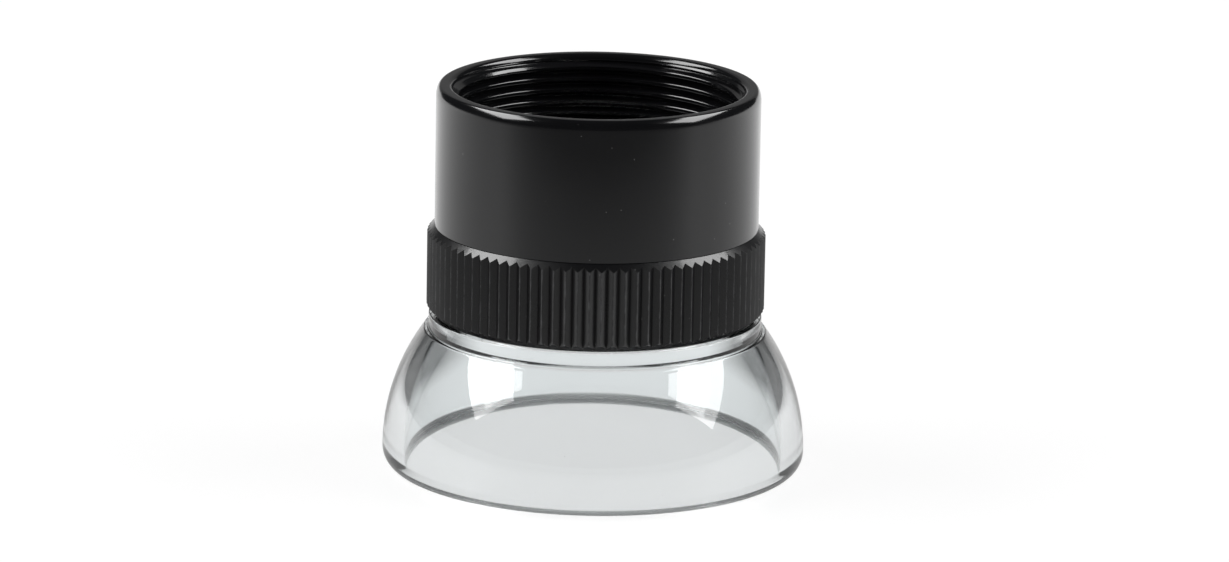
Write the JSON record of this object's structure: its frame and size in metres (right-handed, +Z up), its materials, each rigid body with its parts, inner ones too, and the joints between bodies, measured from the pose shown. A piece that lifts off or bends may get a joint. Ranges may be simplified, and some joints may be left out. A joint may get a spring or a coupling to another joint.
{
  "type": "viewing loupe",
  "caption": "Stand loupe for film: a black lens barrel with a knurled focusing ring on a clear bell skirt.",
  "frame": {"origin": "centre of the foot, on the surface that the loupe stands on", "axes": "+Z up along the optical axis, towards the eye"},
  "size_m": [0.0364, 0.0364, 0.0334],
  "materials": {
    "clear_acrylic": "clear polished acrylic",
    "black_knurl": "black anodised, straight knurl",
    "black_barrel": "black anodised, satin gloss",
    "black_retainer": "black anodised, matt",
    "black_stop": "matt black",
    "lens_glass": "polished optical glass",
    "black_spacer": "black anodised, matt",
    "coated_glass": "polished optical glass with a thin coating"
  },
  "bodies": {
    "base": {"clear_skirt": "clear_acrylic"},
    "optics": {"field_lens": "lens_glass", "eye_lens": "coated_glass", "lens_spacer": "black_spacer", "field_stop": "black_stop"},
    "barrel": {"barrel_tube": "black_barrel", "knurled_ring": "black_knurl", "retaining_ring": "black_retainer"}
  },
  "joints": [
    {"name": "focus_travel", "type": "slide", "parent": "base", "child": "optics", "axis": [0, 0, 1], "range_m": [0, 0.00301]},
    {"name": "focus_turn", "type": "hinge", "parent": "optics", "child": "barrel", "pos_m": [0, 0, 0], "axis": [0, 0, 1], "range_deg": [0, 1080]}
  ],
  "couplings": [
    {"joint": "focus_travel", "follows": "focus_turn", "m_per_rad": 0.00015915}
  ]
}
